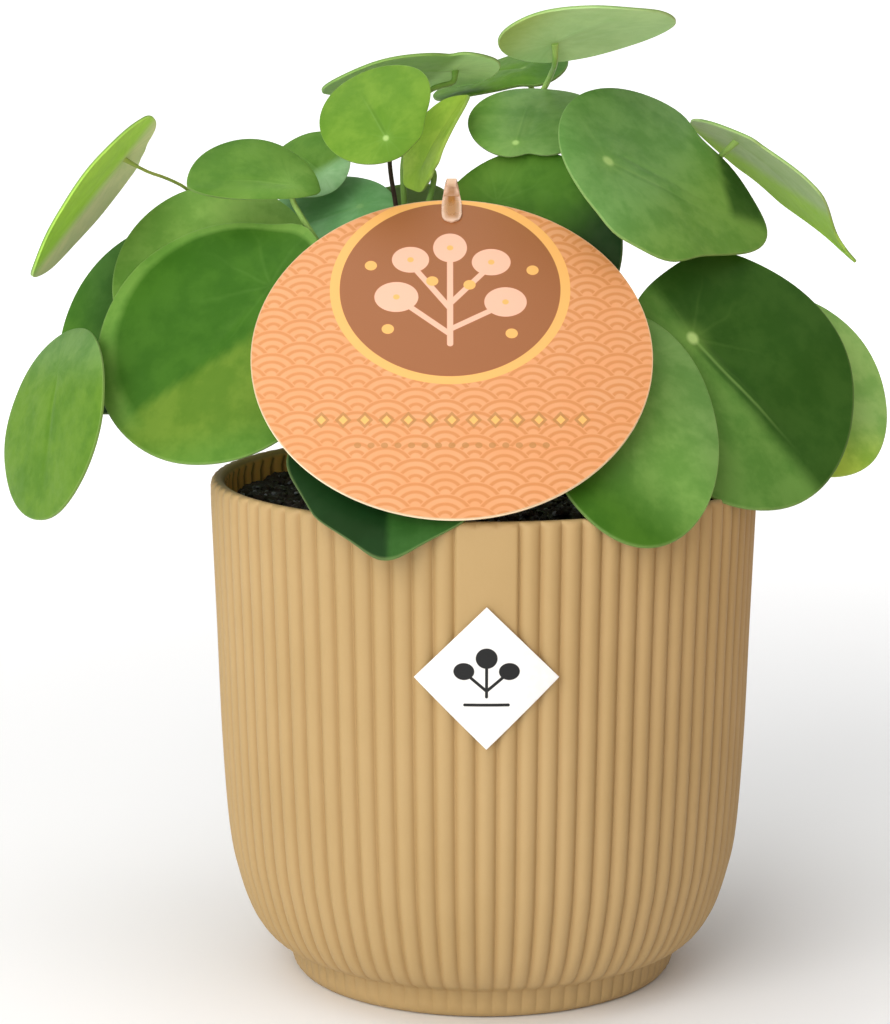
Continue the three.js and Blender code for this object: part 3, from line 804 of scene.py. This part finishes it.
# Painted light: the underside's base green is raised bright for an underside in shade; the upper side keeps its own
# green.
grow_leaf(
    "leaf_top_left", (0.64, 1.0, 0.38), ((0.24, 0.50, 0.09), (128, -0.4, -0.2)), pulls=((110, 0.6, -0.004),),
    top=mid, marks=(0.2, 0.5),
)
grow_leaf(
    "leaf_young_folded", fresh, (yellow_green, (0, 0.2, 1.0)), slot="young_leaf", marks=(0, 0.3),
    pulls=((15, 0.5, 0.0016), (-60, 0.5, 0.0012), (228, 0.3, 0.0012)),
)
grow_leaf("leaf_top_middle", (0.085, 0.20, 0.008), (dark, (0, 0.2, 0.9)), marks=(0.3, 0.2), pulls=((-35, 0.9, 0.005),))
grow_leaf("leaf_upper_middle", sage_green, (soft, (180, 0.2, 0.9)), dot=(-3, -1.4), pulls=((-85, 0.9, -0.003),))
# Painted light: the underside's base green is raised bright for an underside in shade; the upper side keeps its own
# green.
grow_leaf("leaf_top_right", (0.48, 0.74, 0.36), (pale, (135, 0.4, 1.0)), top=soft)
# Painted shade: a dark band along its upper right edge, where the edge curves away.
grow_leaf(
    "leaf_upper_right", (0.155, 0.31, 0.085), (soft, (-40, -0.2, 0.5)), (deep, (14, 0.52, 0.60), (75, -0.4, -0.2)),
    dot=(-0.8, -3),
    pulls=((-44, 0.2, -0.0068), (-85, 0.2, 0.0018), (-29, 0.15, 0.0032), (-53, 0.15, -0.0012), (5, 0.25, -0.0045)),
)
# Painted light: the underside's base green is raised bright for an underside in shade; the upper side keeps its own
# green.
grow_leaf(
    "leaf_far_right_upper", (0.40, 0.70, 0.05), ((0.46, 0.62, 0.28), (57, 0.2, 0.5)), taper=(0.55, 0.8, 0.004),
    pulls=((-17, 0.3, -0.0045), (-62, 0.25, -0.002)), top=soft, marks=(0.2, 0.3),
)
grow_leaf("leaf_behind_card", dark, (black_green, (-35, 0.0, 0.6)), (mid, (140, 0.2, 0.9)), marks=(0, 0.1))
# Painted light: lighter green on the lower left side of the crease along its midrib.
grow_leaf(
    "leaf_big_right", deep, ((0.12, 0.25, 0.05), (-141, 0.02, 0.2)), (dark, (80, 0.86, 1.0)), marks=(1, 1),
    dot=(-0.5, -2.8), pulls=((-82, 0.4, 0.0022), (-32, 0.3, -0.0015), (75, 0.5, 0.0024)),
)
grow_leaf("leaf_front_right", (0.17, 0.32, 0.07), (dark, (-130, 0.1, 0.8)), (sage_green, (30, 0.1, 0.9)), marks=(0.3, 0.3))
grow_leaf("leaf_right_bright", (0.29, 0.48, 0.14), (fresh, (-100, 0.2, 0.9)), pulls=((-50, 0.2, 0.001),))
# Painted shade: near black on its left, next to the card, turning to a deep green on its right part.
grow_leaf(
    "leaf_over_rim", black_green, ((0.032, 0.105, 0.02), (0, -0.03, 0.05)), marks=(0, 0), taper=(0.7, 0.35, 0.0015),
    pulls=((195, 0.3, 0.006),),
)
grow_leaf("leaf_back_low_right", mid)
grow_leaf("leaf_back_low_middle_right", dark, pulls=((20, 0.6, -0.008),))
grow_leaf("leaf_back_low_middle", dark, (mid, (0, 0.2, 0.9)))
grow_leaf("leaf_back_low_left", mid, (dark, (180, 0.2, 0.9)))
grow_leaf("leaf_back_far_left", soft)
grow_leaf("leaf_back_high_right", mid, (bright, (0, 0.2, 0.9)), pulls=((-20, 0.5, -0.006),))
grow_leaf("leaf_back_high_left", soft, (mid, (90, 0.2, 0.9)))

# The main stem: a short woody stem, scarred where old leaves fell, upright in its hole in the soil.
# A tube is drawn along it, with rounded scars and rings pressed in, and ends in a small growing tip.
stem_low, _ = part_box("main_stem")
stem_foot = Vector((-0.004, 0.015, bed_level))
stem_top = Vector((-0.015, 0.021, 0.194))
stem_sides = 40
stem_rows = 90

stem = new_grid("woody_stem", stem_sides, stem_rows)
for number, vertex in enumerate(stem.data.vertices):
    row, column = divmod(number, stem_sides + 1)
    rise = stem_low.z + (stem_top.z + 0.0015 - stem_low.z) * row / stem_rows
    share = min(1.0, max(0.0, (rise - stem_foot.z) / (stem_top.z - stem_foot.z)))
    middle = stem_foot.lerp(stem_top, share)
    middle.x += 0.002 * sin(pi * share)
    radius = 0.0046 * (1 - 0.25 * share)
    turn = column % stem_sides / stem_sides * tau
    knots = noise.noise(Vector((cos(turn) * 1.6, sin(turn) * 1.6, rise * 330)))
    rings_round = 0.5 + 0.5 * sin(rise * 1500 + 1.5 * sin(turn * 2))
    radius += 0.0005 * knots - 0.00025 * rings_round
    if row in (0, stem_rows):
        radius = 0
    elif row in (1, stem_rows - 1):
        radius *= 0.8
    vertex.co = (middle.x + radius * cos(turn), middle.y + radius * sin(turn), rise)
merge_doubles()
bpy.ops.object.shade_smooth()

bark, tree, surface = finish_of("bark", 0.8, Specular_IOR_Level=0.3)
stretched = add_node("Mapping", object_place(tree), None, None, (1, 1, 3)).outputs[0]
cracks = clouds(stretched, 300.0, 5.0, 0.65)
feed(surface, Base_Color=tinted(between(cracks, 0.35, 0.7), (0.05, 0.035, 0.02), (0.19, 0.15, 0.085)))
relief(surface, cracks, 0.6, 0.0006)
stem.data.materials.append(bark)
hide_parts("main_stem")
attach(stem, "root")

# The tag card: a round card, printed in peach with rows of waves, a brown disc in a gold ring with
# a sprig in it, and two rows of ornament, inside a narrow cream border. The back is plain cream.
card_radius = 0.0488
card_thickness = 0.0008
card_centre = Vector((-0.0082, -0.0378, 0.1648))
lean = radians(45)
card_up = Vector((0, cos(lean), sin(lean)))
card_face = Vector((0, -sin(lean), cos(lean)))


def lay_print(piece, flat_spots):
    """The map of a print, from each point's place on the flat piece: a unit is 100 mm."""
    lay_map(piece, "print", [(0.5 + spot.x * 10, 0.5 + spot.y * 10) for spot in flat_spots])


def print_place(tree):
    """A place on a print, in millimetres from its middle."""
    print_map = add_node("UVMap", tree=tree, uv_map="print").outputs[0]
    return add_node("Mapping", print_map, (-50, -50, 0), None, (100, 100, 1)).outputs[0]


select_only(camera)
bpy.ops.mesh.primitive_cylinder_add(vertices=192, radius=card_radius, depth=card_thickness)
card = bpy.context.object
card.name = "round_card"
open_mesh("DESELECT")
bpy.ops.object.mode_set(mode="OBJECT")
for face in card.data.polygons:
    face.select = abs(face.normal.z) > 0.9
bpy.ops.object.mode_set(mode="EDIT")
bpy.ops.mesh.inset(thickness=0.0012)
for _ in range(7):
    bpy.ops.mesh.inset(thickness=0.006)
bpy.ops.object.mode_set(mode="OBJECT")
round_edges(card, 0.0002)
flat_card = [vertex.co.copy() for vertex in card.data.vertices]
lay_print(card, flat_card)
mark_points(card, "front", [1.0 if spot.z > card_thickness * 0.3 else 0.0 for spot in flat_card])
for vertex, spot in zip(card.data.vertices, flat_card):
    # A printed card is never quite flat.
    bow = 0.0003 * sin(spot.x * 55 + 0.6) * cos(spot.y * 48)
    vertex.co = card_centre + Vector((spot.x, 0, 0)) + card_up * spot.y + card_face * (spot.z + bow)
bpy.ops.object.shade_smooth_by_angle(angle=radians(35))


def effect_group(name, output, **inputs):
    """A node group, the sockets of its named inputs, and the socket of its one output."""
    group = bpy.data.node_groups.new(name, "ShaderNodeTree")
    for label, value in inputs.items():
        kind = "NodeSocketVector" if isinstance(value, tuple) else "NodeSocketFloat"
        group.interface.new_socket(name=label, in_out="INPUT", socket_type=kind).default_value = value
    group.interface.new_socket(name=output, in_out="OUTPUT", socket_type="NodeSocketFloat")
    return group, group.nodes.new("NodeGroupInput").outputs, group.nodes.new("NodeGroupOutput").inputs[0]


# An inked dab: a filled ellipse with a slightly soft edge.
dab, given, result = effect_group("dab", "Ink", Place=(0, 0, 0), Centre=(0, 0, 0), Size=(1, 1, 1))
offset = vector_calc("DIVIDE", vector_calc("SUBTRACT", given["Place"], given["Centre"]), given["Size"])
softness = calc("DIVIDE", 0.12, length_of(given["Size"]))
ink_edge = calc("DIVIDE", minus(length_of(offset), 1.0), softness)
dab.links.new(between(ink_edge, -1.0, 1.0, 1.0, 0.0), result)

# An inked stroke: a straight line between two points with round ends.
ends = {"From": (0, 0, 0), "To": (0, 0, 0)}
stroke, given, result = effect_group("stroke", "Ink", Place=(0, 0, 0), **ends, Width=1.0)
whole = vector_calc("SUBTRACT", given["To"], given["From"])
away = vector_calc("SUBTRACT", given["Place"], given["From"])
share = calc("DIVIDE", vector_calc("DOT_PRODUCT", away, whole), vector_calc("DOT_PRODUCT", whole, whole))
share = add_node("Clamp", share).outputs[0]
scaled = add_node("VectorMath", whole, None, None, share, operation="SCALE").outputs[0]
gap = calc("DIVIDE", length_of(vector_calc("SUBTRACT", away, scaled)), given["Width"])
stroke.links.new(between(gap, 0.42, 0.58, 1.0, 0.0), result)

# Rows of waves: circles of radius 1 stand in rows half a radius apart, each row half a circle over and
# in front of the row above. This is the distance from a place to the middle of the circle in one row.
wave_row, given, result = effect_group("wave_row", "Distance", Place=(0, 0, 0), Row=0.0)
x, y, _ = axes_of(given["Place"])
row = plus(calc("CEIL", times(minus(y, 1.0), 2.0)), given["Row"])
shift = calc("FLOORED_MODULO", row, 2.0)
column = calc("ROUND", times(minus(x, shift), 0.5))
dx = minus(x, plus(times(column, 2.0), shift))
dy = minus(y, times(row, 0.5))
wave_row.links.new(calc("SQRT", plus(times(dx, dx), times(dy, dy))), result)


def inked(group, place, **values):
    """What a group gives at a place."""
    made = add_node("Group", tree=place.id_data, node_tree=group)
    place.id_data.links.new(place, made.inputs["Place"])
    for name, value in values.items():
        made.inputs[name].default_value = value
    return made.outputs[0]


def most(shares):
    total = shares[0]
    for share in shares[1:]:
        total = calc("MAXIMUM", total, share)
    return total


def drawing(place, width, lines, spots):
    """The ink of strokes of a width from point to point, and of dabs with a centre and a size."""
    strokes = [inked(stroke, place, From=(*a, 0), To=(*b, 0), Width=width) for a, b in lines]
    return most(strokes + [inked(dab, place, Centre=(*c, 0), Size=(*size, 1)) for c, size in spots])


def repeated(value, pitch):
    """The distance to the nearest of a row of marks at a pitch."""
    turns = calc("FRACT", plus(calc("DIVIDE", value, pitch), 0.5))
    return calc("ABSOLUTE", times(minus(turns, 0.5), pitch))


def within(value, half):
    return calc("LESS_THAN", calc("ABSOLUTE", value), half)


ink_peach = (0.66, 0.315, 0.14)
ink_orange = (0.56, 0.22, 0.066)
ink_brown = (0.292, 0.102, 0.030)
ink_gold = (0.78, 0.40, 0.11)
ink_pink = (0.80, 0.43, 0.30)
ink_bronze = (0.41, 0.19, 0.05)
ink_cream = (0.60, 0.39, 0.22)

card_print, tree, surface = finish_of("card_print", 0.5, Specular_IOR_Level=0.35)
spot = print_place(tree)
x, y, _ = axes_of(spot)
fibre = clouds(spot, 3.0, 4.0, 0.7)

wave_radius = 7.0
wave_shift = (1.6 / wave_radius, 48.6 / wave_radius, 0)
wave_spot = add_node("Mapping", spot, wave_shift, None, (1 / wave_radius, 1 / wave_radius, 1)).outputs[0]
distance = inked(wave_row, wave_spot, Row=3.0)
for row_number in (2.0, 1.0, 0.0):
    nearer = inked(wave_row, wave_spot, Row=row_number)
    inside = calc("LESS_THAN", nearer, 1.0)
    distance = plus(times(distance, minus(1.0, inside)), times(nearer, inside))
off_arcs = [calc("ABSOLUTE", minus(distance, arc)) for arc in (0.9, 0.58, 0.26)]
waves = most([between(off_arc, 0.03, 0.1, 1.0, 0.0) for off_arc in off_arcs])

disc_centre = (-0.4, 20.3)
sprig_stalks = [((-0.4, 3.0), (-0.4, 30.0)), ((-0.4, 6.0), (-12.0, 16.0)), ((-0.4, 7.5), (11.6, 14.5))]
sprig_stalks += [((-0.4, 14.0), (-9.4, 27.0)), ((-0.4, 15.5), (8.8, 26.5))]
sprig_leaves = [((-13.6, 17.6), (5.4, 4.7)), ((13.2, 16.0), (5.2, 4.6)), ((-10.2, 29.4), (4.6, 4.1))]
sprig_leaves += [((9.8, 28.6), (4.8, 4.2)), ((-0.4, 33.2), (4.2, 4.6))]
gold_dots = [(-20.0, 27.5), (20.0, 26.0), (-15.6, 7.6), (14.6, 6.2), (-4.8, 22.6), (4.4, 21.4)]
gold_dots = [(centre, (1.5, 1.5)) for centre in gold_dots] + [(centre, (0.8, 0.8)) for centre, _ in sprig_leaves]

# The ornament: lozenges outlined in bronze over a row of small bronze dots.
lozenge_pitch = 5.2
lozenge_x = calc("DIVIDE", repeated(x, lozenge_pitch), 2.1)
lozenge = plus(lozenge_x, calc("DIVIDE", calc("ABSOLUTE", plus(y, 20.0)), 2.6))
in_row = within(x, lozenge_pitch * 6.5)
dot_pitch = 3.2
dot_x, dot_y = repeated(x, dot_pitch), plus(y, 27.5)
dot_reach = calc("SQRT", plus(times(dot_x, dot_x), times(dot_y, dot_y)))

peach = tinted(between(clouds(spot, 0.09, 3.0, 0.6), 0.3, 0.7), ink_peach, (0.67, 0.295, 0.12))
for share, colour in (
    (times(waves, 0.95), ink_orange),
    (drawing(spot, 1.0, [], [(disc_centre, (29.6, 29.6))]), ink_gold),
    (drawing(spot, 1.0, [], [(disc_centre, (27.2, 27.2))]), ink_brown),
    (drawing(spot, 1.5, sprig_stalks, sprig_leaves), ink_pink),
    (drawing(spot, 1.0, [], gold_dots), ink_gold),
    (times(between(lozenge, 0.9, 1.02, 1.0, 0.0), in_row, 0.8), ink_bronze),
    (times(between(lozenge, 0.45, 0.58, 1.0, 0.0), in_row), ink_gold),
    (times(between(dot_reach, 0.75, 0.95, 1.0, 0.0), within(x, dot_pitch * 7.5), 0.75), ink_bronze),
    (between(length_of(spot), 48.42, 48.62), ink_cream),
):
    peach = tinted(share, peach, colour)
paper = tinted(between(fibre, 0.3, 0.7), (0.86, 0.70, 0.46), (0.90, 0.76, 0.54))
printed = tinted(between(marks_of(tree, "front")["Fac"], 0.5, 0.9), paper, peach)
feed(surface, Base_Color=printed, Roughness=between(fibre, 0.3, 0.7, 0.42, 0.58))
relief(surface, fibre, 0.06, 0.0002)
card.data.materials.append(card_print)
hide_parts("tag_card")
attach(card, "root")

# The stake: a strip of clear amber plastic, upright in the soil behind the card. It bends forward over
# the card's top edge and ends in a tapered clip with a raised rim, painted paler as a painted highlight.
# Above the card the strip is painted pale, for the room seen through it: painted light.
stake_thickness = 0.0014
clip_round = 0.0028
card_top = card_centre + card_up * card_radius
stake_y = card_top.y + 0.0012 + stake_thickness / 2
stake_floor = bed_level - 0.022 + 0.00035
hook_top = card_top.z + 0.0056
hook_front = card_top + card_face * (card_thickness / 2 + 0.00035 + stake_thickness / 2)
# How far forward and how high the strip runs, up to the bend over the card's edge.
upright = [
    (0, stake_floor), (0, stake_floor + 0.012), (0, bed_level + 0.004), (0, (bed_level + card_top.z) / 2),
    (0, card_top.z - 0.004), (0, card_top.z + 0.0005), (0.0006, hook_top - 0.0008), (0.002, hook_top),
    (0.0034, hook_top - 0.001),
]
stake_line = [Vector((card_centre.x, stake_y - forward, high)) for forward, high in upright]
stake_line += [hook_front + card_up * rise for rise in (0.001, -0.004, -0.0075)]
stake_line = [Vector(point) for point in smooth_line(stake_line, 5)]
stake_lengths = [0.0]
for start, end in zip(stake_line, stake_line[1:]):
    stake_lengths.append(stake_lengths[-1] + (end - start).length)
stake_whole = stake_lengths[-1]
bend_row = max(range(len(stake_line)), key=lambda row: stake_line[row].z)
across_stake = [-1, -0.94, -0.8, -0.66, -0.3, 0.3, 0.66, 0.8, 0.94, 1]


def stake_half_width(from_tip):
    """Half the strip's width: round at the clip's end, narrow over the bend, even below it."""
    to_bend = abs(from_tip - (stake_whole - stake_lengths[bend_row]))
    half = 0.0004 + 0.0009 * sqrt(min(1, to_bend / 0.0016)) + 0.0012 * float(ease(0.0014, 0.008, to_bend))
    if from_tip < clip_round:
        return half * sqrt(max(0.0, 1 - (1 - from_tip / clip_round) ** 2.4))
    return half * float(ease(-0.004, 0.012, stake_whole - from_tip)) ** 0.6


stake = new_grid("amber_stake", len(across_stake) - 1, len(stake_line) - 1)
stake_rims = []
for number, vertex in enumerate(stake.data.vertices):
    row, column = divmod(number, len(across_stake))
    ahead = stake_line[min(row + 1, len(stake_line) - 1)] - stake_line[max(row - 1, 0)]
    outward = Vector((0, ahead.z, -ahead.y)).normalized()
    from_tip = stake_whole - stake_lengths[row]
    half = max(stake_half_width(from_tip), 1e-4)
    rim = float(max(ease(0.55, 0.75, abs(across_stake[column])), 1 - ease(0.0006, 0.0018, from_tip)))
    stake_rims.append(rim if from_tip < 0.018 else 0.3)
    sink = 0.0003 * (1 - rim) * float(1 - ease(0.006, 0.009, from_tip))
    spot = stake_line[row] - outward * (stake_thickness / 2 - sink)
    vertex.co = spot + Vector((across_stake[column] * half, 0, 0))
mark_points(stake, "rim", stake_rims)
stake.data.flip_normals()
thicken(stake, stake_thickness - 0.0003)
round_edges(stake, 0.00025)
bpy.ops.object.shade_smooth_by_angle(angle=radians(40))

amber, tree, surface = finish_of("clear_amber", 0.22, IOR=1.49, Transmission_Weight=0.35)
place = object_place(tree)
haze = clouds(place, 160.0, 3.0, 0.5)
# Above the card the strip is painted pale, for the white room seen through it: painted light.
over_card = between(axes_of(place)[2], card_top.z + 0.001, card_top.z + 0.006)
honey = tinted(between(haze, 0.3, 0.7), (0.42, 0.17, 0.03), (0.52, 0.23, 0.045))
honey = tinted(over_card, honey, (0.88, 0.64, 0.42))
# The clip's raised rim is painted paler: a painted highlight.
honey = tinted(times(marks_of(tree, "rim")["Fac"], 0.9), honey, (0.90, 0.62, 0.44))
feed(surface, Base_Color=honey, Roughness=between(haze, 0.3, 0.7, 0.18, 0.3))
stake.data.materials.append(amber)
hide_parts("tag_stake")
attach(stake, "root")

# The label: a square white film sticker set on its corner, bent round the front of the ribs. It bears
# a small black sprig over a line.
label_low, label_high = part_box("label")
label_middle = (label_low.z + label_high.z) / 2
label_half = (label_high.z - label_low.z) / 2
label_reach = 0.06975
label_slope = 0.044

label = new_grid("corner_label", 24, 24)
square = [vertex.co.copy() for vertex in label.data.vertices]
flat_label = [Vector(((p.x - p.y) * label_half, (p.x + p.y) * label_half)) for p in square]
lay_print(label, flat_label)
for vertex, spot in zip(label.data.vertices, flat_label):
    reach = label_reach + label_slope * spot.y
    turn = spot.x / pot_radius
    vertex.co = (reach * sin(turn), -reach * cos(turn), label_middle + spot.y)
if sum((face.normal for face in label.data.polygons), Vector()).y > 0:
    label.data.flip_normals()
thicken(label, 0.00035)
round_edges(label, 0.0001)
bpy.ops.object.shade_smooth_by_angle(angle=radians(40))

film_print, tree, surface = finish_of("white_film", 0.35, Specular_IOR_Level=0.3)
spot = print_place(tree)
film_noise = clouds(spot, 0.6, 3.0, 0.5)
sprig_stalks = [((0, -4.4), (0, 3.4)), ((0, -3.0), (-4.4, 0.8)), ((0, -3.0), (4.4, 0.8))]
underline = ((-5.2, -6.4), (5.2, -6.4))
sprig_leaves = [((0, 5.0), (2.6, 2.5)), ((-5.4, 1.8), (2.5, 2.1)), ((5.4, 1.8), (2.5, 2.1))]
white = tinted(between(film_noise, 0.3, 0.7), (0.80, 0.79, 0.77), (0.84, 0.83, 0.81))
white = tinted(drawing(spot, 0.75, [*sprig_stalks, underline], sprig_leaves), white, (0.006, 0.006, 0.006))
feed(surface, Base_Color=white, Roughness=between(film_noise, 0.3, 0.7, 0.3, 0.42))
label.data.materials.append(film_print)
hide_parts("label")
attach(label, "root")
